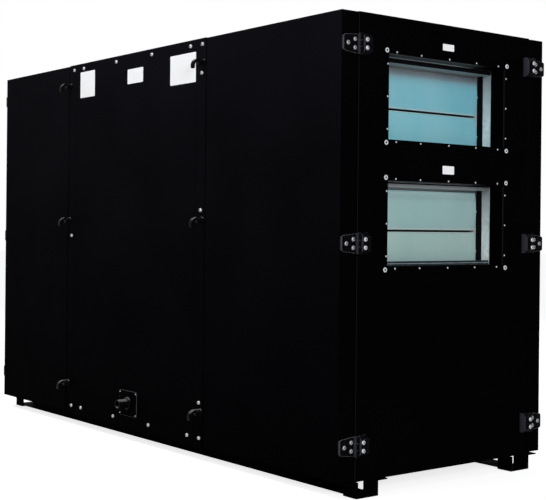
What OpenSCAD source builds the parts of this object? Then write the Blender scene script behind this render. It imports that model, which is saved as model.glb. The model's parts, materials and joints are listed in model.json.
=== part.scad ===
// Air handling unit: an insulated casing on two skids, with hinged service doors on both long sides,
// lever latches beside the doors and shut-off dampers behind the duct openings of both ends.
// X runs along the length, Y across the width and Z up. The origin is on the floor, at the middle.

/* [Casing] */
// Length of the casing, over both end panels
body_l = 2134; // [1900:2:2400]
// Width of the casing, over the doors
body_w = 864; // [800:2:1000]
// Height of the casing, without the skids
body_h = 1330; // [1260:2:1500]
// Thickness of the insulated panels and doors
panel_t = 60; // [50:1:65]
// Width of the uprights that carry the latches
mullion_w = 53; // [46:1:70]
// Seam between fixed panels
panel_seam = 0.5; // [0.3:0.1:2]
// Radius of the folded edges of panels and doors
edge_r = 3; // [1:0.5:5]

/* [Doors] */
// Length of the doors at the front
front_door_l = 661; // [560:1:700]
// Length of the doors at the rear
rear_door_l = 547; // [480:1:600]
// Gap around a door
door_gap = 5; // [5:0.5:6]
// How much lower a door ends than the end panels
door_drop = 2; // [1:0.5:12]
// How much higher a door begins than the end panels
door_lift = 5; // [5:1:12]
// Reach of the stop behind a door's free edge
stop_reach = 18; // [10:1:25]
// Thickness of the stop behind a door's free edge
stop_t = 12; // [8:1:20]

/* [Hinges] */
// Depth of the upper hinges below the top
hinge_top = 94; // [80:1:120]
// Depth of the middle hinges below the top
hinge_mid = 656; // [560:1:720]
// Height of the lower hinges above the casing's bottom
hinge_low = 103; // [80:1:130]
// Height of a hinge at its barrel
hinge_h = 57; // [48:1:64]
// Height of a door leaf at its outer edge
leaf_outer_h = 46; // [36:1:48]
// Distance of a door leaf's outer edge from the door's outer face
leaf_in = 1; // [0.5:0.5:6]
// Radius of a door leaf's outer corners
leaf_corner_r = 7; // [3:0.5:9]
// Thickness of a door leaf
leaf_t = 7; // [5:0.5:8]
// Width of the block on the end panel
block_w = 29; // [26:1:38]
// Height of the block on the end panel
block_h = 61; // [58:1:66]
// Thickness of the block over its screws
block_t = 25; // [20:0.5:25]
// Thickness of the block at its upper and lower end
block_end_t = 13; // [10:0.5:16]
// Height of the block's flat face
block_flat_h = 39; // [30:1:44]
// Distance of the hinge axis from the end face
axis_out = 11; // [10.5:0.5:12]
// Radius of the hinge barrel
barrel_r = 7.5; // [7:0.5:9]
// Radius of the hinge pin
pin_r = 4; // [3:0.5:4.5]
// Radius of the heads of the hinge pin
pin_head_r = 6; // [5:0.5:6.5]
// Height of the heads of the hinge pin
pin_head_h = 3; // [2:0.5:4]
// Gap between the barrel and the pieces beside it
barrel_gap = 1; // [0.5:0.25:1.5]

/* [Latches] */
// Distance of a latch from its door's free edge
latch_in = 17; // [17:1:24]
// Depth of the upper latches below the top
latch_top = 80; // [65:1:100]
// Depth of the middle latches below the top
latch_mid = 592; // [520:1:660]
// Height of the lower latches above the casing's bottom
latch_low = 116; // [90:1:140]
// Radius of the rose under a lever
rose_r = 11.5; // [10.5:0.5:12]
// Thickness of the rose
rose_t = 5; // [4:0.5:8]
// Radius of the rose's outer edge
rose_edge_r = 2; // [1:0.5:3]
// Radius of the lever's hub
hub_r = 10; // [8:0.5:11]
// Height of the lever's hub
hub_h = 15; // [12:0.5:17]
// Radius of the spindle that the lever turns on
spindle_r = 4; // [3:0.5:5]
// How far the spindle ends below the hub's top
spindle_in = 3; // [2:0.5:5]
// Width of the lever at its hub
lever_w = 15; // [13:0.5:18]
// Width of the lever at its tip
lever_tip_w = 11; // [8:0.5:13]
// Thickness of the lever
lever_t = 8; // [6:0.5:9]
// Outer radius of the lever's arch
arch_r = 24; // [20:0.5:28]
// How far the arch turns past the level, in degrees
arch_past = 15; // [0:1:30]
// How far a lever reaches out from the casing
lever_out = 46; // [42:1:50]

/* [Duct openings] */
// Width of a duct opening
duct_w = 500; // [440:1:560]
// Height of a duct opening
duct_h = 247; // [230:1:260]
// Depth of the upper openings' middle below the top
duct_top = 232; // [220:1:250]
// Depth of the lower openings' middle below the top
duct_low = 599; // [560:1:640]
// Distance from an opening's edge to its flange screws, across
flange_in_y = 9; // [7:0.5:14]
// Distance from an opening's edge to its flange screws, in height
flange_in_z = 9.5; // [7:0.5:14]
// Radius of the threaded holes for a duct flange
flange_hole_r = 4; // [3:0.5:5]
// Depth of the threaded holes for a duct flange
flange_hole_deep = 24; // [15:1:40]

/* [Dampers] */
// Depth of a damper casing behind the end panel
damper_d = 90; // [80:1:110]
// Thickness of a damper casing's sides
damper_t = 22; // [18:1:26]
// Height of a damper blade
blade_h = 121; // [110:1:122]
// Thickness of a damper blade at its middle
blade_t = 14; // [13:0.5:16]
// Radius of the bead along a blade's edges
blade_edge_r = 2; // [1.5:0.5:3]
// Gap between two blades, and over and under them
blade_gap = 6; // [6:0.5:7]
// Gap between a blade's end and the damper casing
blade_end = 5; // [5:0.5:8]
// Depth of the blades behind the end face
blade_deep = 118; // [116:1:124]
// How far the damper sits below the middle of its opening
damper_drop = 20; // [16:1:22]
// Radius of a blade's shaft
shaft_r = 6; // [4:0.5:6]
// Clearance around shafts and pins
pin_clear = 0.3; // [0.2:0.05:0.5]

/* [Skids] */
// Height of the skids under the casing
base_h = 46; // [44:1:70]
// Distance of a skid's middle line from the casing's side
skid_in = 104; // [92:1:140]
// Width of a skid's channel
skid_w = 76; // [60:1:84]
// Thickness of the channel's sheet
skid_t = 3; // [2:0.5:4]
// Width of the flanges that the casing rests on
flange_w = 40; // [30:1:44]
// How far a skid reaches past the casing's end
skid_over = 10; // [5:1:20]
// Length of the shoe at each end of a skid
shoe_l = 56; // [50:1:80]
// Thickness of the shoe's plates
shoe_t = 4; // [3:0.5:6]
// Length of the lifting slots
slot_l = 140; // [120:1:180]
// Radius of the lifting slots' corners
slot_r = 6; // [3:0.5:8]

/* [Drain] */
// Distance of the drain from the front end
drain_back = 1125; // [1000:1:1250]
// Height of the drain above the casing's bottom
drain_up = 90; // [78:1:120]
// Width of the drain's plate
drain_plate_w = 118; // [100:1:140]
// Height of the drain's plate
drain_plate_h = 90; // [74:1:100]
// Thickness of the drain's plate
drain_plate_t = 3; // [2:0.5:5]
// Radius of the drain pipe
drain_r = 16; // [12:0.5:20]
// Thickness of the drain pipe's wall
drain_wall = 3; // [2:0.5:4]
// How far the drain pipe reaches out from the casing
drain_out = 46; // [42:1:50]
// Radius of the corners of the drain's plate
drain_corner_r = 8; // [4:0.5:12]
// Height of the collar on the drain pipe
drain_collar_h = 8; // [6:0.5:12]
// How far the collar stands out from the pipe
drain_collar = 6; // [4:0.5:8]

/* [Hidden] */
$fn = 48;
FRONT = 1;
REAR = -1;
NEAR = 1;
FAR = -1;
half_l = body_l / 2;
half_w = body_w / 2;
top_z = base_h + body_h;
carcass_w = body_w - 2 * (panel_t + door_gap);
door_h = body_h - door_drop - door_lift;
hinge_zs = [top_z - hinge_top, top_z - hinge_mid, base_h + hinge_low];
latch_zs = [top_z - latch_top, top_z - latch_mid, base_h + latch_low];
duct_zs = [top_z - duct_top, top_z - duct_low];
blade_pitch = blade_h + blade_gap;
damper_inner_h = 2 * blade_h + 3 * blade_gap;
blade_l = duct_w - 2 * blade_end;
knuckle_h = hinge_h / 3;
axis_x = half_l + axis_out;
axis_y = -half_w + panel_t;
leaf_w = panel_t - leaf_in;
block_y = axis_y + door_gap + barrel_gap;
skid_y = half_w - skid_in;
skid_end = half_l + skid_over;
hub_y = rose_t + pin_clear;
hub_top = hub_y + hub_h;
arch_y = lever_out - arch_r;
arch_z = hub_r - arch_r;
blade_r = (pow(blade_h / 2, 2) + pow(blade_t / 2, 2)) / blade_t;
over = 1;

// Places what is drawn for the front near corner at the corner named by its end and its side
module at_corner(end, side) {
    mirror([end == REAR ? 1 : 0, 0, 0])
        mirror([0, side == FAR ? 1 : 0, 0])
            children();
}

function door_l(end) = end == FRONT ? front_door_l : rear_door_l;

// Distance from an end of the casing to the door side of its upright
function mullion_at(end) = door_l(end) + door_gap;

// Rectangle with round corners, from its lower left corner
module round_rect(l, w, r) {
    translate([r, 0])
        square([l - 2 * r, w]);
    translate([0, r])
        square([l, w - 2 * r]);
    for (x = [r, l - r], y = [r, w - r])
        translate([x, y])
            circle(r);
}

// Insulated floor between the end panels and the doors
module floor_panel() {
    color("dimgray")
        translate([-half_l + panel_t, -carcass_w / 2, base_h])
            cube([body_l - 2 * panel_t, carcass_w, panel_t]);
}

// Insulated roof between the end panels and the doors
module roof_panel() {
    color("dimgray")
        translate([-half_l + panel_t, -carcass_w / 2, top_z - panel_t])
            cube([body_l - 2 * panel_t, carcass_w, panel_t]);
}

// End panel with two duct openings and the threaded holes for their flanges
module end_panel(end) {
    color([0.06, 0.06, 0.07])
        at_corner(end, NEAR)
            difference() {
                translate([half_l - panel_t, -carcass_w / 2, base_h])
                    linear_extrude(body_h)
                        round_rect(panel_t, carcass_w, edge_r);
                for (z = duct_zs) {
                    translate([half_l - panel_t - over, -duct_w / 2, z - duct_h / 2])
                        cube([panel_t + 2 * over, duct_w, duct_h]);
                    for (y = [-1, 1], dz = [-1, 1])
                        translate([half_l - flange_hole_deep, y * (duct_w / 2 + flange_in_y),
                                   z + dz * (duct_h / 2 + flange_in_z)])
                            rotate([0, 90, 0])
                                cylinder(r = flange_hole_r, h = flange_hole_deep + over);
                }
            }
}

// Upright between a door and the fixed panel, with a stop behind the door's free edge
module mullion(end, side) {
    near_x = half_l - mullion_at(end);
    color([0.06, 0.06, 0.07])
        at_corner(end, side) {
            translate([near_x - mullion_w, -half_w, base_h])
                linear_extrude(body_h)
                    round_rect(mullion_w, panel_t + door_gap, edge_r);
            translate([near_x - mullion_w, -half_w + panel_t + door_gap, base_h + panel_t])
                cube([mullion_w + stop_reach, stop_t, body_h - 2 * panel_t]);
        }
}

// Fixed panel between the uprights of a long side
module side_panel(side) {
    x0 = -half_l + mullion_at(REAR) + mullion_w + panel_seam;
    x1 = half_l - mullion_at(FRONT) - mullion_w - panel_seam;
    color([0.06, 0.06, 0.07])
        at_corner(FRONT, side)
            translate([x0, -half_w, base_h])
                linear_extrude(body_h)
                    round_rect(x1 - x0, panel_t + door_gap, edge_r);
}

// Hinged service door, whose end edge lies in the plane of the end panel
module door(end, side) {
    color([0.06, 0.06, 0.07])
        at_corner(end, side)
            translate([half_l - door_l(end), -half_w, base_h + door_lift])
                linear_extrude(door_h)
                    round_rect(door_l(end), panel_t, edge_r);
}

// Outline of a door leaf, from the barrel's axis to the door's outer face, with round outer corners
module leaf_outline() {
    corner_y = leaf_corner_r - leaf_w;
    corner_z = leaf_outer_h / 2 - leaf_corner_r;
    slope = atan2(hinge_h / 2 - leaf_outer_h / 2, leaf_w - leaf_corner_r);
    polygon([
        [0, -hinge_h / 2],
        [0, hinge_h / 2],
        [corner_y - leaf_corner_r * sin(slope), corner_z + leaf_corner_r * cos(slope)],
        [corner_y, corner_z],
        [-leaf_w, corner_z],
        [-leaf_w, -corner_z],
        [corner_y, -corner_z],
        [corner_y - leaf_corner_r * sin(slope), -corner_z - leaf_corner_r * cos(slope)]
    ]);
    for (end_z = [-1, 1])
        translate([corner_y, end_z * corner_z])
            circle(leaf_corner_r);
}

// Hinge pin with a chamfered head at each end
module hinge_pin() {
    rotate_extrude()
        polygon([
            [0, -hinge_h / 2 - pin_head_h],
            [pin_r, -hinge_h / 2 - pin_head_h],
            [pin_head_r, -hinge_h / 2 - pin_head_h / 2],
            [pin_head_r, -hinge_h / 2],
            [pin_r, -hinge_h / 2],
            [pin_r, hinge_h / 2],
            [pin_head_r, hinge_h / 2],
            [pin_head_r, hinge_h / 2 + pin_head_h / 2],
            [pin_r, hinge_h / 2 + pin_head_h],
            [0, hinge_h / 2 + pin_head_h]
        ]);
}

// Door leaf with its knuckle in the middle of the barrel
module hinge_leaf() {
    own_h = knuckle_h - 2 * pin_clear;
    difference() {
        union() {
            difference() {
                translate([half_l, axis_y, 0])
                    rotate([90, 0, 90])
                        linear_extrude(leaf_t)
                            leaf_outline();
                translate([axis_x, axis_y, -hinge_h])
                    cylinder(r = barrel_r + barrel_gap, h = 2 * hinge_h);
            }
            translate([half_l, axis_y - 2 * barrel_r, -own_h / 2])
                cube([leaf_t, 2 * barrel_r, own_h]);
            translate([axis_x, axis_y, -own_h / 2])
                cylinder(r = barrel_r, h = own_h);
        }
        translate([axis_x, axis_y, -hinge_h])
            cylinder(r = pin_r + pin_clear, h = 2 * hinge_h);
    }
}

// Three leaves of one door
module hinge_leaves(end, side) {
    color([0.08, 0.08, 0.09])
        at_corner(end, side)
            for (z = hinge_zs)
                translate([0, 0, z])
                    hinge_leaf();
}

// Side of a hinge block: a flat face over the screws, with both ends sloping back to the panel
module block_outline() {
    polygon([
        [0, -block_h / 2],
        [block_end_t, -block_h / 2],
        [block_t, -block_flat_h / 2],
        [block_t, block_flat_h / 2],
        [block_end_t, block_h / 2],
        [0, block_h / 2]
    ]);
}

// Block on the end panel with the two outer knuckles and the pin
module hinge_block() {
    own_h = knuckle_h - pin_clear;
    difference() {
        translate([half_l, block_y + block_w, 0])
            rotate([90, 0, 0])
                linear_extrude(block_w)
                    block_outline();
        translate([axis_x, axis_y, -knuckle_h / 2 - pin_clear])
            cylinder(r = barrel_r + barrel_gap, h = knuckle_h + 2 * pin_clear);
    }
    for (z = [-hinge_h / 2, knuckle_h / 2 + pin_clear])
        translate([axis_x, axis_y, z])
            linear_extrude(own_h) {
                circle(barrel_r);
                translate([-barrel_r, 0])
                    square([2 * barrel_r, door_gap + 2 * barrel_gap]);
            }
    translate([axis_x, axis_y, 0])
        hinge_pin();
}

// The six blocks of one end
module hinge_blocks(end) {
    color([0.08, 0.08, 0.09])
        for (side = [NEAR, FAR])
            at_corner(end, side)
                for (z = hinge_zs)
                    translate([0, 0, z])
                        hinge_block();
}

// Round base that a lever turns on, with a soft edge and a spindle
module latch_rose() {
    rotate([90, 0, 0]) {
        rotate_extrude() {
            square([rose_r - rose_edge_r, rose_t]);
            square([rose_r, rose_t - rose_edge_r]);
            translate([rose_r - rose_edge_r, rose_t - rose_edge_r])
                circle(rose_edge_r);
        }
        cylinder(r = spindle_r, h = hub_top - spindle_in);
    }
}

// The twelve roses, three beside each door
module latch_roses() {
    color([0.05, 0.05, 0.05])
        for (end = [FRONT, REAR], side = [NEAR, FAR], z = latch_zs)
            at_corner(end, side)
                translate([half_l - door_l(end) - latch_in, -half_w, z])
                    latch_rose();
}

// Side of a lever: straight out from its hub, then bent down in an arch to a round tip
module lever_outline() {
    mid_r = arch_r - lever_t / 2;
    translate([hub_y, hub_r - lever_t])
        square([arch_y - hub_y, lever_t]);
    translate([arch_y, arch_z]) {
        intersection() {
            difference() {
                circle(arch_r);
                circle(arch_r - lever_t);
            }
            polygon([
                [0, 0],
                [0, 2 * arch_r],
                [2 * arch_r, 2 * arch_r],
                [2 * arch_r, -2 * arch_r * tan(arch_past)]
            ]);
        }
        translate([mid_r * cos(arch_past), -mid_r * sin(arch_past)])
            circle(lever_t / 2);
    }
}

// Front of a lever, which narrows to its tip
module lever_front() {
    low_z = arch_z - arch_r;
    polygon([
        [-lever_w / 2, hub_r],
        [lever_w / 2, hub_r],
        [lever_w / 2, 0],
        [lever_tip_w / 2, low_z],
        [-lever_tip_w / 2, low_z],
        [-lever_w / 2, 0]
    ]);
}

// Lever on its hub, drawn where it hangs down
module latch_lever() {
    difference() {
        union() {
            rotate([90, 0, 0])
                translate([0, 0, hub_y])
                    cylinder(r = hub_r, h = hub_h);
            intersection() {
                translate([lever_w / 2, 0, 0])
                    rotate([90, 0, -90])
                        linear_extrude(lever_w)
                            lever_outline();
                rotate([90, 0, 0])
                    linear_extrude(lever_out + over)
                        lever_front();
            }
        }
        rotate([90, 0, 0])
            cylinder(r = spindle_r + pin_clear, h = hub_top - spindle_in + pin_clear);
    }
}

// One lever at its place
module latch(end, side, z) {
    color([0.05, 0.05, 0.05])
        at_corner(end, side)
            translate([half_l - door_l(end) - latch_in, -half_w, z])
                latch_lever();
}

// Height of a blade's shaft: 0 is the upper blade and 1 the lower
function blade_z(z, i) = z - damper_drop + (i == 0 ? 1 : -1) * blade_pitch / 2;

// Casing of a damper behind the end panel, with the bearings of its shafts
module damper_frame(end, z) {
    outer_w = duct_w + 2 * damper_t;
    outer_h = damper_inner_h + 2 * damper_t;
    color([0.72, 0.76, 0.78])
        at_corner(end, NEAR)
            difference() {
                translate([half_l - panel_t - damper_d / 2, 0, z - damper_drop])
                    cube([damper_d, outer_w, outer_h], center = true);
                translate([half_l - panel_t - damper_d / 2, 0, z - damper_drop])
                    cube([damper_d + 2 * over, duct_w, damper_inner_h], center = true);
                for (i = [0, 1])
                    translate([half_l - blade_deep, outer_w / 2 + over, blade_z(z, i)])
                        rotate([90, 0, 0])
                            cylinder(r = shaft_r + pin_clear, h = outer_w + 2 * over);
            }
}

// Section of a blade: two shallow arcs that meet in round beads
module blade_section() {
    intersection_for (side = [-1, 1])
        translate([side * (blade_r - blade_t / 2), 0])
            circle(blade_r, $fn = 360);
    for (end_z = [-1, 1])
        translate([0, end_z * (blade_h / 2 - blade_edge_r)])
            circle(blade_edge_r);
}

// Lens-shaped blade on its shaft
module damper_blade(z, i) {
    translate([half_l - blade_deep, 0, blade_z(z, i)])
        rotate([90, 0, 0]) {
            linear_extrude(blade_l, center = true)
                blade_section();
            cylinder(r = shaft_r, h = duct_w + 2 * damper_t, center = true);
        }
}

// One blade of a front damper
module front_blade(row, i) {
    color([0.52, 0.68, 0.72])
        damper_blade(duct_zs[row], i);
}

// The four blades of the rear dampers
module rear_blades() {
    color([0.52, 0.68, 0.72])
        at_corner(REAR, NEAR)
            for (z = duct_zs, i = [0, 1])
                damper_blade(z, i);
}

// Section of a skid: a channel with a flange on each side
module skid_section() {
    half = skid_w / 2;
    polygon([
        [-half, shoe_t],
        [half, shoe_t],
        [half, base_h - skid_t],
        [half + flange_w, base_h - skid_t],
        [half + flange_w, base_h],
        [half - skid_t, base_h],
        [half - skid_t, shoe_t + skid_t],
        [skid_t - half, shoe_t + skid_t],
        [skid_t - half, base_h],
        [-half - flange_w, base_h],
        [-half - flange_w, base_h - skid_t],
        [-half, base_h - skid_t]
    ]);
}

// Section of a shoe: a trough around the lower part of the channel
module shoe_section() {
    half = skid_w / 2;
    polygon([
        [-half - shoe_t, 0],
        [half + shoe_t, 0],
        [half + shoe_t, base_h - skid_t],
        [half, base_h - skid_t],
        [half, shoe_t],
        [-half, shoe_t],
        [-half, base_h - skid_t],
        [-half - shoe_t, base_h - skid_t]
    ]);
}

// Channel along the casing, with a shoe and a pair of lifting slots at each end
module skid(side) {
    slot_z = shoe_t + skid_t;
    color([0.05, 0.05, 0.05])
        mirror([0, side == FAR ? 1 : 0, 0])
            translate([0, -skid_y, 0]) {
                difference() {
                    translate([-skid_end, 0, 0])
                        rotate([90, 0, 90])
                            linear_extrude(2 * skid_end)
                                skid_section();
                    for (end = [FRONT, REAR])
                        at_corner(end, NEAR)
                            translate([skid_end - shoe_l - slot_l, skid_w / 2 + over, slot_z])
                                rotate([90, 0, 0])
                                    linear_extrude(skid_w + 2 * over)
                                        round_rect(slot_l, base_h - skid_t - slot_z, slot_r);
                }
                for (end = [FRONT, REAR])
                    at_corner(end, NEAR)
                        translate([skid_end - shoe_l, 0, 0])
                            rotate([90, 0, 90])
                                linear_extrude(shoe_l)
                                    shoe_section();
            }
}

// Plate around the drain pipe
module drain_plate() {
    color([0.07, 0.07, 0.08])
        translate([half_l - drain_back, -half_w, base_h + drain_up])
            rotate([90, 0, 0])
                difference() {
                    linear_extrude(drain_plate_t)
                        translate([-drain_plate_w / 2, -drain_plate_h / 2])
                            round_rect(drain_plate_w, drain_plate_h, drain_corner_r);
                    translate([0, 0, -over])
                        cylinder(r = drain_r, h = drain_plate_t + 2 * over);
                }
}

// Drain pipe with a collar against the plate
module drain_pipe() {
    bore_r = drain_r - drain_wall;
    collar_top = drain_plate_t + drain_collar_h;
    color([0.1, 0.1, 0.1])
        translate([half_l - drain_back, -half_w, base_h + drain_up])
            rotate([90, 0, 0])
                rotate_extrude()
                    polygon([
                        [0, 0],
                        [drain_r, 0],
                        [drain_r, drain_plate_t],
                        [drain_r + drain_collar, drain_plate_t],
                        [drain_r + drain_collar, collar_top - drain_wall],
                        [drain_r + drain_wall, collar_top],
                        [drain_r, collar_top],
                        [drain_r, drain_out],
                        [bore_r, drain_out],
                        [bore_r, drain_wall],
                        [0, drain_wall]
                    ]);
}

floor_panel();
roof_panel();
end_panel(FRONT);  // front_end_panel
end_panel(REAR);  // rear_end_panel
mullion(FRONT, NEAR);  // near_front_mullion
mullion(REAR, NEAR);  // near_rear_mullion
mullion(FRONT, FAR);  // far_front_mullion
mullion(REAR, FAR);  // far_rear_mullion
side_panel(NEAR);  // near_side_panel
side_panel(FAR);  // far_side_panel
door(FRONT, NEAR);  // near_front_door
door(FRONT, FAR);  // far_front_door
door(REAR, NEAR);  // near_rear_door
door(REAR, FAR);  // far_rear_door
hinge_leaves(FRONT, NEAR);  // near_front_hinge_leaves
hinge_leaves(FRONT, FAR);  // far_front_hinge_leaves
hinge_leaves(REAR, NEAR);  // near_rear_hinge_leaves
hinge_leaves(REAR, FAR);  // far_rear_hinge_leaves
hinge_blocks(FRONT);  // front_hinge_blocks
hinge_blocks(REAR);  // rear_hinge_blocks
latch_roses();
latch(FRONT, NEAR, latch_zs[0]);  // near_front_latch_top
latch(FRONT, NEAR, latch_zs[1]);  // near_front_latch_mid
latch(FRONT, NEAR, latch_zs[2]);  // near_front_latch_low
latch(REAR, NEAR, latch_zs[0]);  // near_rear_latch_top
latch(REAR, NEAR, latch_zs[1]);  // near_rear_latch_mid
latch(REAR, NEAR, latch_zs[2]);  // near_rear_latch_low
latch(FRONT, FAR, latch_zs[0]);  // far_front_latch_top
latch(FRONT, FAR, latch_zs[1]);  // far_front_latch_mid
latch(FRONT, FAR, latch_zs[2]);  // far_front_latch_low
latch(REAR, FAR, latch_zs[0]);  // far_rear_latch_top
latch(REAR, FAR, latch_zs[1]);  // far_rear_latch_mid
latch(REAR, FAR, latch_zs[2]);  // far_rear_latch_low
damper_frame(FRONT, duct_zs[0]);  // front_upper_damper_frame
damper_frame(FRONT, duct_zs[1]);  // front_lower_damper_frame
damper_frame(REAR, duct_zs[0]);  // rear_upper_damper_frame
damper_frame(REAR, duct_zs[1]);  // rear_lower_damper_frame
front_blade(0, 0);  // front_upper_blade_a
front_blade(0, 1);  // front_upper_blade_b
front_blade(1, 0);  // front_lower_blade_a
front_blade(1, 1);  // front_lower_blade_b
rear_blades();
skid(NEAR);  // near_skid
skid(FAR);  // far_skid
drain_plate();
drain_pipe();
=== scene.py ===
"""Air handling unit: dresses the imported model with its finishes, fasteners, plates and seals, and
sets the studio it stands in."""
import json
import math

import bmesh
import bpy
from mathutils import Matrix, Vector


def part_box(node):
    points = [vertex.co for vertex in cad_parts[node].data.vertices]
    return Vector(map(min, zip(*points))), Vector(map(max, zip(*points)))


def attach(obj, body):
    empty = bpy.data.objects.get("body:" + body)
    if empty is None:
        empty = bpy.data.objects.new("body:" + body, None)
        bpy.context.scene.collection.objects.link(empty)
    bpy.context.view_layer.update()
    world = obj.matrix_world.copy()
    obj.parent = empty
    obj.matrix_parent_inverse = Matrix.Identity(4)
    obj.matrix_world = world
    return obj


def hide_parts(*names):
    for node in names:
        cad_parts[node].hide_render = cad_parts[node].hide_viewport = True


bl_info = {
    "name": "Air Handling Unit",
    "version": (1, 0, 0),
    "blender": (4, 5, 0),
    "location": "View3D > Sidebar > Air Handler",
    "description": "Dresses an air handling unit with its finishes, screws, plates and seals",
    "category": "Object",
}

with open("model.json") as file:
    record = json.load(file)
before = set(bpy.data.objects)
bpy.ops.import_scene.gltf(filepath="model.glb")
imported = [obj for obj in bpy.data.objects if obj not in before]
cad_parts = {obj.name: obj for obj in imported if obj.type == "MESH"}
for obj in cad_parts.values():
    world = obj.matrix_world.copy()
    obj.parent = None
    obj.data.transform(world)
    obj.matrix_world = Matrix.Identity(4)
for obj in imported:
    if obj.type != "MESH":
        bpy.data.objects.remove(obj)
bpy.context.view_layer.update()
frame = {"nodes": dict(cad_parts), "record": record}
MM = 0.001
UP = Vector((0, 0, 1))

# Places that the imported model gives, in metres
END_LOW, END_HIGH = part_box("front_end_panel")
SIDE_LOW, SIDE_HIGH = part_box("near_side_panel")
HALF_L = END_HIGH.x
HALF_W = -SIDE_LOW.y
BASE_Z = END_LOW.z
TOP_Z = END_HIGH.z
PANEL_T = END_HIGH.x - END_LOW.x
CARCASS_Y = END_HIGH.y
ENDS = {"front": 1, "rear": -1}
SIDES = {"near": -1, "far": 1}
DUCTS = {m["name"]: m for m in frame["record"]["mounts"] if m["kind"] == "bolt_pattern"}
BODIES = frame["record"]["behaviour"]["bodies"]
BODY_OF = {node: body for body, nodes in BODIES.items() for node in nodes}


class ScrewSizes(bpy.types.PropertyGroup):
    """Heads of the screws and where they sit on the panels."""

    head_r: bpy.props.FloatProperty(
        name="Screw head radius", description="Radius of the button heads on panels and hinges",
        default=6.6 * MM, unit="LENGTH")
    head_h: bpy.props.FloatProperty(
        name="Screw head height", description="Height of the button heads over the sheet",
        default=5.6 * MM, unit="LENGTH")
    hinge_h: bpy.props.FloatProperty(
        name="Hinge head height", description="Height of the lower heads on the hinges",
        default=3.4 * MM, unit="LENGTH")
    small_r: bpy.props.FloatProperty(
        name="Small head radius",
        description="Radius of the small heads around openings and on the drain plate",
        default=3.0 * MM, unit="LENGTH")
    insert_r: bpy.props.FloatProperty(
        name="Insert radius", description="Outer radius of the threaded inserts for duct flanges",
        default=7.2 * MM, unit="LENGTH")
    row_top: bpy.props.FloatProperty(
        name="Upper row depth", description="Distance of the upper screw row from the casing's top",
        default=20 * MM, unit="LENGTH")
    row_low: bpy.props.FloatProperty(
        name="Lower row height",
        description="Distance of the lower screw row from the casing's bottom",
        default=32 * MM, unit="LENGTH")
    first_column: bpy.props.FloatProperty(
        name="First column",
        description="Distance of the first screw column from the fixed panel's front edge",
        default=31 * MM, unit="LENGTH")
    last_column: bpy.props.FloatProperty(
        name="Last column",
        description="Distance of the last screw column from the fixed panel's rear edge",
        default=60 * MM, unit="LENGTH")
    columns: bpy.props.IntProperty(
        name="Columns", description="Screw columns on a fixed panel", default=4, min=2)


class PlateSizes(bpy.types.PropertyGroup):
    """Bare plates on the near side and over the openings."""

    thickness: bpy.props.FloatProperty(
        name="Plate thickness", description="Thickness of the bare plates",
        default=1.2 * MM, unit="LENGTH")
    corner_r: bpy.props.FloatProperty(
        name="Plate corner radius", description="Radius of the corners of the bare plates",
        default=2.5 * MM, unit="LENGTH")


class SealSizes(bpy.types.PropertyGroup):
    """Seals of the doors and the dampers, and the flange inserts around an opening."""

    bulb_r: bpy.props.FloatProperty(
        name="Bulb radius", description="Radius of the bulb seal around a door opening",
        default=2.2 * MM, unit="LENGTH")
    bulb_corner: bpy.props.FloatProperty(
        name="Bulb corner radius", description="Radius at which the bulb seal turns a corner",
        default=25 * MM, unit="LENGTH")
    strip_front: bpy.props.FloatProperty(
        name="Strip depth", description="Distance of a damper's seal strip from the end face",
        default=91 * MM, unit="LENGTH")
    strip_w: bpy.props.FloatProperty(
        name="Strip width", description="Width of a damper's seal strip",
        default=24 * MM, unit="LENGTH")
    strip_t: bpy.props.FloatProperty(
        name="Strip thickness", description="Thickness of a damper's seal strip",
        default=1.2 * MM, unit="LENGTH")
    stop_h: bpy.props.FloatProperty(
        name="Stop height", description="Legs of the stop angles behind a damper's blades",
        default=14 * MM, unit="LENGTH")
    sill_h: bpy.props.FloatProperty(
        name="Sill height", description="Upright seal at the bottom of a damper casing",
        default=31 * MM, unit="LENGTH")
    insert_in_y: bpy.props.FloatProperty(
        name="Insert beside opening",
        description="Distance of the flange inserts from an opening's upright edge",
        default=9 * MM, unit="LENGTH")
    insert_in_z: bpy.props.FloatProperty(
        name="Insert over opening",
        description="Distance of the flange inserts from an opening's level edge",
        default=9.5 * MM, unit="LENGTH")


class Colours(bpy.types.PropertyGroup):
    """Colours of the finishes."""

    coat: bpy.props.FloatVectorProperty(
        name="Casing coat", description="Black powder coat of the casing",
        subtype="COLOR", default=(0.0023, 0.0022, 0.0030))
    # Painted highlight along the upright corners of the end panels and the front edges of the
    # openings
    edge: bpy.props.FloatVectorProperty(
        name="Painted edge highlights", description="Highlights painted along the end panels' corners and the openings' front edges",
        subtype="COLOR", default=(0.013, 0.0128, 0.014))
    # Painted light from below on the underside at the top of each duct opening
    underside_light: bpy.props.FloatVectorProperty(
        name="Painted underside light", description="Light painted on the underside at the top of a duct opening",
        subtype="COLOR", default=(0.075, 0.078, 0.080))
    # The blade colours are partly the metal's own tint and partly painted reflection of the
    # surroundings
    upper_blade: bpy.props.FloatVectorProperty(
        name="Upper blades", description="Brushed blades of the upper dampers",
        subtype="COLOR", default=(0.148, 0.485, 0.57))
    lower_blade: bpy.props.FloatVectorProperty(
        name="Lower blades", description="Brushed blades of the lower dampers",
        subtype="COLOR", default=(0.31, 0.475, 0.45))
    zinc: bpy.props.FloatVectorProperty(
        name="Galvanised sheet", description="Galvanised damper casings and inner skins",
        subtype="COLOR", default=(0.66, 0.72, 0.74))
    plate: bpy.props.FloatVectorProperty(
        name="Plates", description="White lacquer of the bare plates",
        subtype="COLOR", default=(0.92, 0.925, 0.94))


class UnitSettings(bpy.types.PropertyGroup):
    """All the settings of the unit."""

    screws: bpy.props.PointerProperty(type=ScrewSizes)
    plates: bpy.props.PointerProperty(type=PlateSizes)
    seals: bpy.props.PointerProperty(type=SealSizes)
    colours: bpy.props.PointerProperty(type=Colours)


# Node trees


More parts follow.
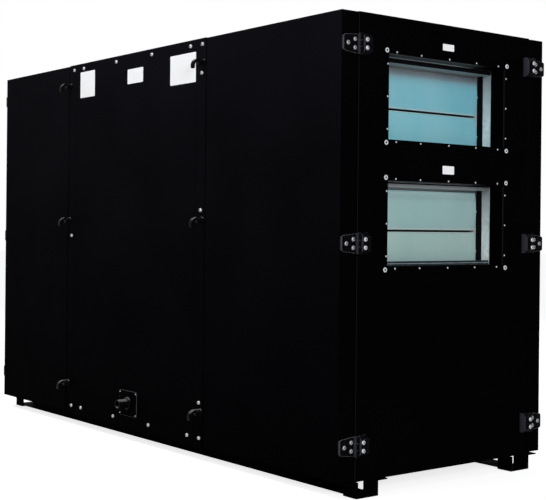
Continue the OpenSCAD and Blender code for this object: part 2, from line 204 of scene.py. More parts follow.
def add_node(tree, kind, values=None, **settings):
    """A new node with its settings, and its inputs by name or number, as values or as links."""
    node = tree.nodes.new(kind)
    for name, value in settings.items():
        setattr(node, name, value)
    for name, value in (values or {}).items():
        if isinstance(value, bpy.types.NodeSocket):
            tree.links.new(value, node.inputs[name])
        else:
            node.inputs[name].default_value = value
    return node


def empty_tree(owner):
    """The cleared node tree of a material or a world."""
    owner.use_nodes = True
    owner.node_tree.nodes.clear()
    return owner.node_tree


def calc(tree, operation, *values):
    """The result of one operation on values or sockets."""
    node = add_node(tree, "ShaderNodeMath", dict(enumerate(values)), operation=operation)
    return node.outputs[0]


def join(tree, operation, first, *others):
    """Several values made one by the same operation."""
    for other in others:
        first = calc(tree, operation, first, other)
    return first


def direct_view(tree):
    """1 for rays from the camera and for reflected and transmitted ones."""
    rays = add_node(tree, "ShaderNodeLightPath").outputs
    kinds = ("Camera", "Glossy", "Transmission")
    return join(tree, "MAXIMUM", *(rays[f"Is {kind} Ray"] for kind in kinds))


def axes(tree, vector):
    """X, Y and Z of a place."""
    return add_node(tree, "ShaderNodeSeparateXYZ", {0: vector}).outputs


def sizes_of(tree, vector):
    """Absolute X and Y of a place or a direction, and its Z."""
    x, y, z = axes(tree, vector)
    return calc(tree, "ABSOLUTE", x), calc(tree, "ABSOLUTE", y), z


def noise(tree, places, scale, detail=2.0, stretch=(1, 1, 1)):
    """Noise over the object's own coordinates, stretched along its axes."""
    mapping = add_node(tree, "ShaderNodeMapping", {"Vector": places, "Scale": stretch})
    values = {"Vector": mapping.outputs["Vector"], "Scale": scale, "Detail": detail}
    return add_node(tree, "ShaderNodeTexNoise", values).outputs["Fac"]


def spread(tree, value, low, high, start=0.3, end=0.7):
    """A value mapped from one range to another, by default from that of a noise."""
    values = {0: value, 1: start, 2: end, 3: low, 4: high}
    return add_node(tree, "ShaderNodeMapRange", values).outputs[0]


def shade(colour, factor):
    """A colour made lighter or darker."""
    return tuple(min(1.0, part * factor) for part in colour)


def blend(tree, factor, first, second):
    """A mix of two colours, given as tuples or sockets."""
    first, second = (
        colour if isinstance(colour, bpy.types.NodeSocket) else (*colour, 1)
        for colour in (first, second))
    values = {"Factor": factor, 6: first, 7: second}
    return add_node(tree, "ShaderNodeMix", values, data_type="RGBA").outputs[2]


def mottle(tree, pattern, colour, darker, lighter):
    """A colour that a noise makes darker and lighter."""
    return blend(tree, spread(tree, pattern, 0, 1), shade(colour, darker), shade(colour, lighter))


def tone_ramp(tree, value, tones):
    """A colour by a value, from (place, colour) pairs."""
    ramp = add_node(tree, "ShaderNodeValToRGB", {0: value})
    stops = ramp.color_ramp.elements
    for stop, (place, tone) in zip(stops, (tones[0], tones[-1])):
        stop.position, stop.color = place, (*tone, 1)
    for place, tone in tones[1:-1]:
        stops.new(place).color = (*tone, 1)
    return ramp.outputs[0]


# Materials


def start_material(name, **values):
    """A material with one principled shader, its tree, and the object's own coordinates."""
    material = bpy.data.materials.new(name)
    tree = empty_tree(material)
    shader = add_node(tree, "ShaderNodeBsdfPrincipled", values)
    add_node(tree, "ShaderNodeOutputMaterial", {"Surface": shader.outputs["BSDF"]})
    places = add_node(tree, "ShaderNodeTexCoord").outputs["Object"]
    return material, tree, shader, places


def feed(tree, shader, colour, roughness, relief=None, distance=0.0, strength=1.0):
    """Links a finish to its shader: its colour, its roughness, and the relief from a height."""
    tree.links.new(colour, shader.inputs["Base Color"])
    tree.links.new(roughness, shader.inputs["Roughness"])
    if relief is not None:
        values = {"Height": relief, "Distance": distance, "Strength": strength}
        bump = add_node(tree, "ShaderNodeBump", values)
        tree.links.new(bump.outputs["Normal"], shader.inputs["Normal"])


def bolt_reach(duct):
    """Half the spacing of a duct flange's bolts, across and up."""
    return duct["dims"]["spacing_x_mm"] * MM / 2, duct["dims"]["spacing_y_mm"] * MM / 2


def duct_mouth(duct, seals):
    """Half width of a duct opening and the height of its upper edge."""
    half_y, half_z = bolt_reach(duct)
    return half_y - seals.insert_in_y, duct["pos_m"][2] + half_z - seals.insert_in_z


def inside_mask(tree, places):
    """1 on the faces that look into the unit and 0 on the outer ones, from their place."""
    margin = 0.6 * MM
    lip = 2.5 * MM
    mid_z = (BASE_Z + TOP_Z) / 2
    x, y, z = axes(tree, places)
    limits = (
        (x, HALF_L - PANEL_T + lip),
        (y, HALF_W - PANEL_T + margin),
        (calc(tree, "SUBTRACT", z, mid_z), TOP_Z - mid_z - PANEL_T + margin),
    )
    tests = [calc(tree, "LESS_THAN", calc(tree, "ABSOLUTE", value), limit)
             for value, limit in limits]
    return join(tree, "MULTIPLY", *tests)


def corner_mask(tree, places):
    """1 along the upright corners of an end panel beside its doors, where a painted highlight runs.
    """
    x, y, _ = sizes_of(tree, places)
    # Value, the edge, and where the band of painted highlight starts and is full, in from the edge
    bands = ((y, CARCASS_Y, 1.6 * MM, 0.8 * MM), (x, HALF_L, 2.2 * MM, 1.2 * MM))
    return join(tree, "MULTIPLY", *(spread(tree, value, 0, 1, edge - start, edge - full)
                                    for value, edge, start, full in bands))


def reveal_masks(tree, places, mouths):
    """Masks for painted light: 1 on the undersides at the top of the duct openings, lit from below,
    along their inner edge as a painted highlight, and on the openings' upright front edges, also a
    painted highlight."""
    slack = 0.7 * MM
    width_slack = 0.3 * MM
    fade_start, fade_end = 90 * MM, 170 * MM
    rim_full, rim_end = 13 * MM, 15 * MM
    lip_middle, lip_half = 2.8 * MM, 2.5 * MM
    inner_x = HALF_L - PANEL_T
    half_y = mouths[0][0]
    x, y, z = sizes_of(tree, places)
    tops = sorted({round(mouth_top, 4) for _, mouth_top in mouths})
    at_top = join(tree, "MAXIMUM", *(calc(tree, "COMPARE", z, top, slack) for top in tops))
    within = calc(tree, "LESS_THAN", y, half_y + width_slack)
    # The painted light under the tops fades out towards +Y
    light_fade = spread(tree, axes(tree, places)["Y"], 1, 0, fade_start, fade_end)
    lit_underside = join(tree, "MULTIPLY", at_top, within, light_fade)
    rim = spread(tree, x, 1, 0, inner_x + rim_full, inner_x + rim_end)
    wall = calc(tree, "COMPARE", y, half_y, slack)
    lip = calc(tree, "COMPARE", x, HALF_L - lip_middle, lip_half)
    return lit_underside, calc(tree, "MULTIPLY", lit_underside, rim), calc(tree, "MULTIPLY", wall, lip)


def zinc_colour(tree, places, colour):
    """Spangle of galvanised sheet."""
    values = {"Vector": places, "Scale": 75.0, "Randomness": 1.0}
    cells = add_node(tree, "ShaderNodeTexVoronoi", values)
    grey = add_node(tree, "ShaderNodeRGBToBW", {0: cells.outputs["Color"]}).outputs[0]
    return blend(tree, grey, shade(colour, 0.82), shade(colour, 1.12))


def casing_coat(name, colours, mouths=None):
    """Black satin powder coat with fine orange peel, with painted light that makes it paler upwards
    and painted shade on its end faces, and galvanised sheet inside the unit. Mouths are given for an
    end panel, which also gets painted highlights and painted light at its openings."""
    bottom_shade, top_light, end_shade = 0.35, 1.9, 0.4
    face_t = 2 * MM
    face_blend = 1 * MM
    rim_highlight_gain = 6.5
    skin_metal = 0.85
    material, tree, shader, places = start_material(name, **{"Specular IOR Level": 0.001})
    clouds = noise(tree, places, 2.6, 5.0)
    # Painted light and shade: darker at the bottom, paler at the top, darker on the end faces
    low, high, ends = [mottle(tree, clouds, colours.coat, 0.8 * depth, 1.25 * depth)
                       for depth in (bottom_shade, top_light, end_shade)]
    x, _, z = sizes_of(tree, places)
    coat = blend(tree, spread(tree, z, 0, 1, BASE_Z, TOP_Z), low, high)
    reach = HALF_L - (PANEL_T if mouths else face_t)
    coat = blend(tree, spread(tree, x, 0, 1, reach, reach + face_blend), coat, ends)
    if mouths:
        lit_underside, inner_rim_highlight, front_edge_highlight = reveal_masks(tree, places, mouths)
        streaks = noise(tree, places, 300, 2.0, stretch=(1, 0.05, 1))
        # Painted highlights on corners and front edges, painted light under the tops of the openings,
        # and a brighter painted highlight along their inner rim
        layers = (
            (corner_mask(tree, places), colours.edge),
            (front_edge_highlight, colours.edge),
            (lit_underside, mottle(tree, streaks, colours.underside_light, 0.8, 1.2)),
            (inner_rim_highlight, shade(colours.underside_light, rim_highlight_gain)),
        )
        for mask, colour in layers:
            coat = blend(tree, mask, coat, colour)
    inside = inside_mask(tree, places)
    skin = zinc_colour(tree, places, colours.zinc)
    tree.links.new(spread(tree, inside, 0, skin_metal, 0, 1), shader.inputs["Metallic"])
    feed(tree, shader, blend(tree, inside, coat, skin),
         spread(tree, noise(tree, places, 9, 3.0), 0.40, 0.56),
         relief=noise(tree, places, 850), distance=0.08 * MM, strength=0.5)
    return material


def plain_coat(name, colour, roughness, peel, specular, top_highlight=None, flank_highlight=None):
    """Black coat, rubber or moulded plastic without an inner side, with painted highlights on its
    upper faces or its flanks."""
    top_start, flank_start, highlight_full = 0.5, 0.6, 0.95
    roughness_swing = 0.08
    material, tree, shader, places = start_material(name, **{"Specular IOR Level": specular})
    coat = mottle(tree, noise(tree, places, 35, 4.0), colour, 0.75, 1.35)
    # Painted highlight: faces turned up or to the side are made paler, as if lit there
    for axis, pale, start in ((2, top_highlight, top_start), (1, flank_highlight, flank_start)):
        if pale:
            normal = add_node(tree, "ShaderNodeTexCoord").outputs["Normal"]
            facing = spread(tree, sizes_of(tree, normal)[axis], 0, 1, start, highlight_full)
            coat = blend(tree, facing, coat, pale)
    feed(tree, shader, coat,
         spread(tree, noise(tree, places, 60, 3.0), roughness - roughness_swing,
                roughness + roughness_swing),
         relief=noise(tree, places, peel), distance=0.08 * MM, strength=0.6)
    return material


def damper_rise(tree, places):
    """Height within either damper, from 0 at its bottom to 1 at its top."""
    full = 0.999  # just short of 1, which would count as 0 of the next damper
    _, _, height = axes(tree, places)
    boxes = [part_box(f"front_{row}_damper_frame") for row in ("lower", "upper")]
    rises = [spread(tree, height, 0, full, low.z, high.z) for low, high in boxes]
    return calc(tree, "FRACT", calc(tree, "ADD", *rises))


def galvanised_sheet(colours):
    """Galvanised sheet with its spangle, in painted shade towards the top of a damper and lighter
    below as if lit.
    """
    painted_shade_start, painted_shade_full = 0.40, 0.95
    material, tree, shader, places = start_material("galvanised_sheet", Metallic=0.1)
    # Painted shade: a lit copy of the zinc below blends into a dark copy towards the damper's top
    painted_shade = spread(tree, damper_rise(tree, places), 0, 1, painted_shade_start, painted_shade_full)
    lit_zinc = zinc_colour(tree, places, shade(colours.zinc, 1.28))
    feed(tree, shader, blend(tree, painted_shade, lit_zinc, shade(colours.zinc, 0.44)),
         spread(tree, noise(tree, places, 120, 3.0), 0.34, 0.52),
         relief=noise(tree, places, 300), distance=0.04 * MM, strength=0.4)
    return material


def blade_tones(colour, top_tone, pull, lip):
    """Painted light, shade and reflection on a damper's pair of blades, by height: painted highlights
    on the beads, a cooler painted reflection on the upper blade, and a painted tone at the top."""
    bead_highlight = tuple(0.6 * part + 0.22 for part in colour)
    cool = tuple(part * tint for part, tint in zip(colour, (0.86, 0.95, 0.99)))

    def towards_top(share):
        return tuple(part + (top - part) * share * pull for part, top in zip(cool, top_tone))

    return (
        (0.0, bead_highlight), (0.02, bead_highlight), (0.03, colour), (0.47, colour),
        (0.48, bead_highlight), (0.52, bead_highlight), (0.545, cool),
        (0.82, towards_top(0.08)), (0.87, towards_top(0.24)), (0.905, towards_top(0.45)),
        (0.95, top_tone), (0.98, shade(top_tone, lip)), (1.0, shade(top_tone, 1.1)),
    )


def brushed_blade(name, *rows):
    """Brushed metal with fine streaks along the blade, from the lowest and highest place and the
    tones of each damper, lowest damper first; the tones paint the light, shade and reflection."""
    row_below = 20 * MM
    row_blend = 1 * MM
    streak_tone, cloud_tone = (0.9, 0.95, 1.0), (0.85, 0.9, 0.9)
    material, tree, shader, places = start_material(
        name, Metallic=0.05, **{"Specular IOR Level": 0.3})
    streaks = noise(tree, places, 900, 3.0, stretch=(1, 0.02, 1))
    clouds = noise(tree, places, 7, 3.0, stretch=(1, 1, 0.4))
    _, _, height = axes(tree, places)
    metal = None
    for low, high, tones in rows:
        row = tone_ramp(tree, spread(tree, height, 0, 1, low, high), tones)
        start = low - row_below
        above = spread(tree, height, 0, 1, start, start + row_blend)
        metal = row if metal is None else blend(tree, above, metal, row)
    fine = blend(tree, spread(tree, streaks, 0.06, 0), metal, streak_tone)
    pale = blend(tree, spread(tree, clouds, 0, 0.10), fine, cloud_tone)
    feed(tree, shader, pale, spread(tree, streaks, 0.40, 0.52),
         relief=streaks, distance=0.02 * MM, strength=0.5)
    return material


def plated_steel(name, colour):
    """Zinc-plated steel of screws and inserts, with painted shade in the sockets of the screws."""
    material, tree, shader, places = start_material(name, Metallic=0.45)
    tone = noise(tree, places, 400, 3.0)
    plated = mottle(tree, tone, colour, 0.8, 1.2)
    socket = add_node(tree, "ShaderNodeAttribute", attribute_name="socket").outputs["Fac"]
    # Painted shade: the marked socket faces get a darker copy of the metal
    feed(tree, shader, blend(tree, socket, plated, shade(colour, 0.45)),
         spread(tree, tone, 0.20, 0.32))
    return material


def white_lacquer(colours):
    """White lacquered aluminium with a faint grain."""
    material, tree, shader, places = start_material(
        "white_lacquer", **{"Specular IOR Level": 0.2})
    grain = noise(tree, places, 700, 3.0, stretch=(0.15, 1, 1))
    feed(tree, shader, mottle(tree, grain, colours.plate, 0.97, 1.0),
         spread(tree, grain, 0.30, 0.42))
    return material


def wear(node_name, material):
    """Gives a CAD node its finish."""
    slots = frame["nodes"][node_name].data.materials
    slots.clear()
    slots.append(material)


# Meshes


def link_object(name, data):
    """A new object in the scene."""
    item = bpy.data.objects.new(name, data)
    bpy.context.scene.collection.objects.link(item)
    return item


def new_piece(name, mesh, body, slot, *materials):
    """Links a mesh as a piece that rides on a body, with materials if it has none yet."""
    piece = link_object(name, mesh)
    for material in materials:
        mesh.materials.append(material)
    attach(piece, body)
    return piece


def smooth(mesh, angle_deg=32):
    """Shades a mesh smooth, but for edges sharper than an angle."""
    mesh.shade_smooth()
    mesh.set_sharp_from_angle(angle=math.radians(angle_deg))


def mesh_from(work, name):
    """A mesh from a bmesh, with its faces turned outwards."""
    bmesh.ops.recalc_face_normals(work, faces=work.faces)
    mesh = bpy.data.meshes.new(name)
    work.to_mesh(mesh)
    work.free()
    return mesh


def evaluated_mesh(carrier, name):
    """The plain mesh that an object's modifiers make; the object itself is removed."""
    result = carrier.evaluated_get(bpy.context.evaluated_depsgraph_get())
    mesh = bpy.data.meshes.new_from_object(result)
    mesh.name = name
    bpy.data.objects.remove(carrier)
    return mesh


def merged_copy(mesh, distance=0.01 * MM):
    """A bmesh copy of a mesh with its doubles merged."""
    work = bmesh.new()
    work.from_mesh(mesh)
    bmesh.ops.remove_doubles(work, verts=work.verts, dist=distance)
    return work


def islands(node_name):
    """Lowest and highest corner of each separate solid in a CAD node."""
    work = merged_copy(frame["nodes"][node_name].data)
    waiting = set(work.verts)
    boxes = []
    while waiting:
        part = {waiting.pop()}
        edge = list(part)
        while edge:
            for link in edge.pop().link_edges:
                for vert in link.verts:
                    if vert in waiting:
                        waiting.remove(vert)
                        part.add(vert)
                        edge.append(vert)
        low = Vector([min(v.co[i] for v in part) for i in range(3)])
        high = Vector([max(v.co[i] for v in part) for i in range(3)])
        boxes.append((low, high))
    work.free()
    return sorted(boxes, key=lambda box: tuple(box[0]))


def softened_copy(node_name, width, material, edge_material, slot):
    """A copy of a CAD node with small rounds on its edges, in a finish of their own, which stands
    for the node."""
    flat_deg, round_deg, sharp_deg = 1, 40, 35
    work = merged_copy(frame["nodes"][node_name].data)
    bmesh.ops.dissolve_limit(
        work, angle_limit=math.radians(flat_deg), verts=work.verts, edges=work.edges)
    plain = mesh_from(work, node_name + "_plain")
    for finish in (material, edge_material):
        plain.materials.append(finish)
    carrier = link_object(node_name + "_carrier", plain)
    soften = carrier.modifiers.new("edges", "BEVEL")
    soften.width = width
    soften.segments = 2
    soften.limit_method = "ANGLE"
    soften.angle_limit = math.radians(round_deg)
    soften.material = 1
    mesh = evaluated_mesh(carrier, node_name + "_soft")
    smooth(mesh, sharp_deg)
    piece = new_piece(node_name + "_soft", mesh, BODY_OF[node_name], slot)
    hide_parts(node_name)


def turns(count):
    """Angles of a full circle."""
    return [2 * math.pi * i / count for i in range(count)]


def bridge(work, lower, upper):
    """Faces between two loops of as many points."""
    return [work.faces.new((lower[i - 1], lower[i], upper[i], upper[i - 1]))
            for i in range(len(lower))]


def circle(work, radii, z):
    """A loop of points around Z, from the radius of each."""
    return [work.verts.new((r * math.cos(a), r * math.sin(a), z))
            for r, a in zip(radii, turns(len(radii)))]


def revolved_head(name, profile, segments, socket_r, socket_z):
    """Round head of unit radius from (radius, height) pairs, with a hexagon socket in its top."""
    work = bmesh.new()
    flat = math.pi / 3
    hexagon = [socket_r * math.cos(flat / 2) / math.cos(a % flat - flat / 2)
               for a in turns(segments)]
    rings = [circle(work, [r] * segments, z) for r, z in profile]
    rings += [circle(work, hexagon, z) for z in (profile[-1][1], socket_z)]
    # Marks the socket's faces, which the screw metal darkens as painted shade
    socket = work.faces.layers.float.new("socket")
    for lower, upper in zip(rings, rings[1:]):
        walls = bridge(work, lower, upper)
    work.faces.new(rings[0])
    for face in (*walls, work.faces.new(rings[-1])):
        face[socket] = 1.0
    mesh = mesh_from(work, name)
    smooth(mesh)
    return mesh


def button_head(radius, height):
    """Button head of unit radius with a hexagon socket."""
    h = height / radius
    profile = [(1.0, -0.05), (1.0, 0.2 * h), (0.93, 0.52 * h), (0.78, 0.82 * h), (0.52, h)]
    return revolved_head("button_head", profile, 18, socket_r=0.38, socket_z=0.45 * h)


def small_head():
    """Low domed head of unit radius with a small socket."""
    profile = [(1.0, -0.05), (1.0, 0.12), (0.85, 0.38), (0.5, 0.52)]
    return revolved_head("small_head", profile, 12, socket_r=0.4, socket_z=0.2)


def insert_head():
    """Flat ring of unit radius with a soft outer edge."""
    outer, inner, height, segments = 1.0, 0.44, 0.22, 24
    soft = 0.25 * height
    profile = ((inner, 0), (outer, 0), (outer, height - soft), (outer - soft, height),
               (inner, height))
    work = bmesh.new()
    rings = [circle(work, [r] * segments, z) for r, z in profile]
    for lower, upper in zip(rings, rings[1:] + rings[:1]):
        bridge(work, lower, upper)
    mesh = mesh_from(work, "flange_insert")
    smooth(mesh)
    return mesh


def rounded_plate(name, centre, across, width, height, sizes):
    """Thin upright plate with round corners and a chamfered front edge."""
    steps = 5
    thickness, corner_r = sizes.thickness, sizes.corner_r
    edge = thickness / 3
    out = across.cross(UP)
    outline = []
    for turn, (sx, sy) in enumerate(((1, 1), (-1, 1), (-1, -1), (1, -1))):
        x, y = sx * (width / 2 - corner_r), sy * (height / 2 - corner_r)
        for i in range(steps + 1):
            a = math.pi / 2 * (turn + i / steps)
            outline.append((x, y, math.cos(a), math.sin(a)))
    work = bmesh.new()
    rings = []
    for depth, inset in ((0, 0), (thickness - edge, 0), (thickness, edge)):
        r = corner_r - inset
        rings.append([work.verts.new(centre + across * (x + r * ca) + UP * (y + r * sa)
                                     + out * depth) for x, y, ca, sa in outline])
    for lower, upper in zip(rings, rings[1:]):
        bridge(work, lower, upper)
    for loop in (rings[0], rings[-1]):
        work.faces.new(loop)
    return mesh_from(work, name)


def add_strip(work, corner, across, out, width, thickness, run):
    """A strip with chamfered long edges, from its section and the way it runs."""
    section = ((0, 0), (1, 0), (1, 0.5), (0.92, 1), (0.08, 1), (0, 0.5))
    ends = [[work.verts.new(corner + across * (u * width) + out * (v * thickness) + shift)
             for u, v in section] for shift in (Vector(), run)]
    bridge(work, *ends)
    for loop in ends:
        work.faces.new(loop)


# Geometry Nodes


def new_tree(name, sockets):
    """A node group for a modifier, the identifiers of its named inputs, and those inputs."""
    tree = bpy.data.node_groups.new(name, "GeometryNodeTree")
    tree.interface.new_socket("Geometry", in_out="INPUT", socket_type="NodeSocketGeometry")
    names = {}
    for label, kind in sockets.items():
        socket = tree.interface.new_socket(label, in_out="INPUT", socket_type="NodeSocket" + kind)
        names[label] = socket.identifier
    tree.interface.new_socket("Geometry", in_out="OUTPUT", socket_type="NodeSocketGeometry")
    return tree, names, add_node(tree, "NodeGroupInput").outputs


def end_tree(tree, geometry, material):
    """Ends a node group: its instances made real, and their material set."""
    realize = add_node(tree, "GeometryNodeRealizeInstances", {"Geometry": geometry})
    values = {"Geometry": realize.outputs["Geometry"], "Material": material}
    finish = add_node(tree, "GeometryNodeSetMaterial", values)
    add_node(tree, "NodeGroupOutput", {"Geometry": finish.outputs["Geometry"]})


def grown_mesh(name, mesh, tree, names, inputs):
    """The plain mesh that a node group makes of a mesh, with the group's inputs set by label."""
    carrier = link_object(name + "_carrier", mesh)
    modifier = carrier.modifiers.new(tree.name, "NODES")
    modifier.node_group = tree
    for label, value in inputs.items():
        modifier[names[label]] = value
    return evaluated_mesh(carrier, name)


def fastener_tree():
    """Sets a head on every point, turned to the way the point faces and spun by chance."""
    tree, names, given = new_tree("fasteners", {
        "Head": "Object", "Radius": "Float", "Spin seed": "Int", "Metal": "Material"})
    head = add_node(tree, "GeometryNodeObjectInfo", {"Object": given["Head"], "As Instance": True})
    facing = add_node(tree, "GeometryNodeInputNamedAttribute", {"Name": "facing"},
                      data_type="FLOAT_VECTOR")
    aim = add_node(tree, "FunctionNodeAlignRotationToVector",
                   {"Vector": facing.outputs["Attribute"]}, axis="Z")
    spin = add_node(tree, "FunctionNodeRandomValue",
                    {2: 0.0, 3: 2 * math.pi, "Seed": given["Spin seed"]}, data_type="FLOAT")
    turn = add_node(tree, "FunctionNodeAxisAngleToRotation",
                    {"Axis": UP, "Angle": spin.outputs[1]})
    turned = add_node(tree, "FunctionNodeRotateRotation",
                      {"Rotation": aim.outputs["Rotation"], "Rotate By": turn.outputs["Rotation"]},
                      rotation_space="LOCAL")
    place = add_node(tree, "GeometryNodeInstanceOnPoints", {
        "Points": given["Geometry"], "Instance": head.outputs["Geometry"],
        "Rotation": turned.outputs["Rotation"], "Scale": given["Radius"]})
    end_tree(tree, place.outputs["Instances"], given["Metal"])
    return tree, names


def set_fasteners(name, spots, head_mesh, radius, metal, seed, body="casing"):
    """One piece of like fasteners, from (place, facing) pairs, on one body."""
    head = link_object(name + "_head", head_mesh)
    mesh = bpy.data.meshes.new(name + "_spots")
    mesh.from_pydata([place for place, _ in spots], [], [])
    facing = mesh.attributes.new("facing", "FLOAT_VECTOR", "POINT")
    facing.data.foreach_set("vector", [part for _, way in spots for part in way])
    inputs = {"Head": head, "Radius": radius, "Spin seed": seed, "Metal": metal}
    result = grown_mesh(name, mesh, *fastener_tree(), inputs)
    bpy.data.objects.remove(head)
    new_piece(name, result, body, "screw_zinc")


def bulb_tree():
    """Runs a round seal along a loop of edges, with round corners."""
    tree, names, given = new_tree("bulb_seal", {
        "Radius": "Float", "Corner": "Float", "Rubber": "Material"})
    path = add_node(tree, "GeometryNodeMeshToCurve", {"Mesh": given["Geometry"]})
    fillet = add_node(tree, "GeometryNodeFilletCurve", mode="POLY", values={
        "Curve": path.outputs["Curve"], "Count": 6, "Radius": given["Corner"]})
    section = add_node(tree, "GeometryNodeCurvePrimitiveCircle",
                       {"Resolution": 12, "Radius": given["Radius"]})
    sweep = add_node(tree, "GeometryNodeCurveToMesh", {
        "Curve": fillet.outputs["Curve"], "Profile Curve": section.outputs["Curve"]})
    soft = add_node(tree, "GeometryNodeSetShadeSmooth", {"Geometry": sweep.outputs["Mesh"]})
    end_tree(tree, soft.outputs["Geometry"], given["Rubber"])
    return tree, names


def run_bulb(name, corners, sizes, rubber):
    """A bulb seal along a closed loop of corners on the casing."""
    mesh = bpy.data.meshes.new(name + "_path")
    count = len(corners)
    mesh.from_pydata(corners, [(i, (i + 1) % count) for i in range(count)], [])
    inputs = {"Radius": sizes.bulb_r, "Corner": sizes.bulb_corner, "Rubber": rubber}
    result = grown_mesh(name, mesh, *bulb_tree(), inputs)
    work = merged_copy(result, 0.001 * MM)
    bmesh.ops.recalc_face_normals(work, faces=work.faces)
    work.to_mesh(result)
    work.free()
    new_piece(name, result, "casing", "seal_rubber")


# Operators


class CoatCasing(bpy.types.Operator):
    """Coats the panels, doors, uprights and skids"""

    bl_idname = "air_handler.coat_casing"
    bl_label = "Coat the casing"

    def execute(self, context):
        settings = context.scene.air_handler
        colours = settings.colours
        mouths = [duct_mouth(duct, settings.seals) for duct in DUCTS.values()]
        coat = casing_coat("casing_coat", colours)
        end_coat = casing_coat("end_panel_coat", colours, mouths)
        skid = plain_coat("skid_coat", shade(colours.coat, 0.5), roughness=0.5, peel=700,
                          specular=0.001)
        for name in frame["nodes"]:
            if name.endswith("end_panel"):
                wear(name, end_coat)
            elif name.endswith(("panel", "mullion", "door")):
                wear(name, coat)
            elif name.endswith("skid"):
                wear(name, skid)
        return {"FINISHED"}


class FinishDampers(bpy.types.Operator):
    """Finishes the damper casings and blades, and fits their seal strips, stops and sills"""

    bl_idname = "air_handler.finish_dampers"
    bl_label = "Finish the dampers"

    stop_deep = 125 * MM
    sill_deep = 60.2 * MM
    sill_fold = 1.8 * MM
    # The dark strip behind the sill stands higher by this and is this share of its thickness; it
    # paints the shadow line above the sill
    shadow_strip_rise = 8 * MM
    shadow_strip_share = 0.7
    upper_sill_drop = 12 * MM
    lower_cover = 4 * MM
    # Painted tone at the top of each damper (painted light on the lower, painted shade on the upper),
    # how far it reaches down, and the tone of the edge there
    blade_tops = {
        "lower": ((0.43, 0.64, 0.66), 0.3, 1.3),
        "upper": ((0.12, 0.17, 0.21), 1.0, 0.8),
    }

    def execute(self, context):
        settings = context.scene.air_handler
        zinc = galvanised_sheet(settings.colours)
        rows = {}
        for row, top in self.blade_tops.items():
            colour = tuple(getattr(settings.colours, row + "_blade"))
            rows[row] = (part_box(f"front_{row}_blade_b")[0].z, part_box(f"front_{row}_blade_a")[1].z,
                         blade_tones(colour, *top))
        metals = {row: brushed_blade(f"{row}_blade_metal", tones) for row, tones in rows.items()}
        both = brushed_blade("rear_blade_metal", *rows.values())
        for name in frame["nodes"]:
            if name.endswith("damper_frame"):
                wear(name, zinc)
            elif "_blade_" in name:
                wear(name, metals[name.split("_")[1]])
            elif name == "rear_blades":
                wear(name, both)
        self.line_dampers(settings.seals)
        self.set_stops(settings.seals, zinc)
        return {"FINISHED"}

    def openings(self, seals):
        """The end, row and outward way of each damper, half its inner width, its inner bottom and
        top, and the top of the duct opening before it."""
        for end, way in ENDS.items():
            for row in ("upper", "lower"):
                half_y, mouth_top = duct_mouth(DUCTS[f"{end}_{row}_duct"], seals)
                low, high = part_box(f"{end}_{row}_damper_frame")
                wall = high.y - half_y
                yield end, row, way, half_y, low.z + wall, high.z - wall, mouth_top

    def line_dampers(self, seals):
        """Black strips at the blades' ends, and one over the damper casing's edge at the top of
        the opening."""
        rubber = plain_coat("damper_rubber", (0.004, 0.004, 0.005), roughness=0.7, peel=500,
                            specular=0.03)
        for end, row, way, half_y, bottom, top, mouth_top in self.openings(seals):
            depth = Vector((-way, 0, 0))
            work = bmesh.new()
            for side in SIDES.values():
                corner = Vector((way * (HALF_L - seals.strip_front), side * half_y, bottom))
                add_strip(work, corner, depth, Vector((0, -side, 0)), seals.strip_w,
                          seals.strip_t, UP * (top - bottom))
            cover = mouth_top - top if row == "upper" else self.lower_cover
            corner = Vector((way * (HALF_L - PANEL_T), -half_y, mouth_top))
            add_strip(work, corner, -UP, -depth, cover, seals.strip_t, Vector((0, 2 * half_y, 0)))
            name = f"{end}_{row}_damper_seal"
            new_piece(name, mesh_from(work, name), "casing", "seal_rubber", rubber)

    def set_stops(self, seals, zinc):
        """Stop angles behind the outer edges of the blades, and the sill's seal in painted shade with
        its folded edge as a painted highlight and a taller dark strip behind it as a painted shadow
        line."""
        # Painted shade on the sill's upright and its shadow strip, and a painted highlight on its
        # folded edge
        shaded_sill = plain_coat("sill_rubber", (0.024, 0.032, 0.038), roughness=0.6, peel=500,
                          specular=0.05)
        fold_highlight = plain_coat("sill_fold", (0.25, 0.30, 0.33), roughness=0.5, peel=500, specular=0.2)
        thin = seals.strip_t
        for end, row, way, half_y, bottom, top, _ in self.openings(seals):
            depth = Vector((-way, 0, 0))
            run = Vector((0, 2 * half_y, 0))
            work = bmesh.new()
            for z, leg in ((top, -UP), (bottom, UP)):
                corner = Vector((way * (HALF_L - self.stop_deep), -half_y, z))
                add_strip(work, corner, leg, depth, seals.stop_h, thin, run)
                add_strip(work, corner + depth * thin, depth, leg, seals.stop_h, thin, run)
            name = f"{end}_{row}_blade_stops"
            new_piece(name, mesh_from(work, name), "casing", "galvanised", zinc)
            work = bmesh.new()
            sill = Vector((way * (HALF_L - self.sill_deep), -half_y, bottom))
            height = seals.sill_h - (self.upper_sill_drop if row == "upper" else 0)
            add_strip(work, sill, UP, depth, height, thin, run)
            # A taller dark strip right behind the sill, a painted shadow line above it
            add_strip(work, sill + depth * thin, UP, depth, height + self.shadow_strip_rise,
                      self.shadow_strip_share * thin, run)
            shaded_faces = len(work.faces)
            add_strip(work, sill + UP * height, UP, depth, self.sill_fold, thin, run)
            name = f"{end}_{row}_sill"
            mesh = mesh_from(work, name)
            new_piece(name, mesh, "casing", "seal_rubber", shaded_sill, fold_highlight)
            for face in mesh.polygons[shaded_faces:]:
                face.material_index = 1


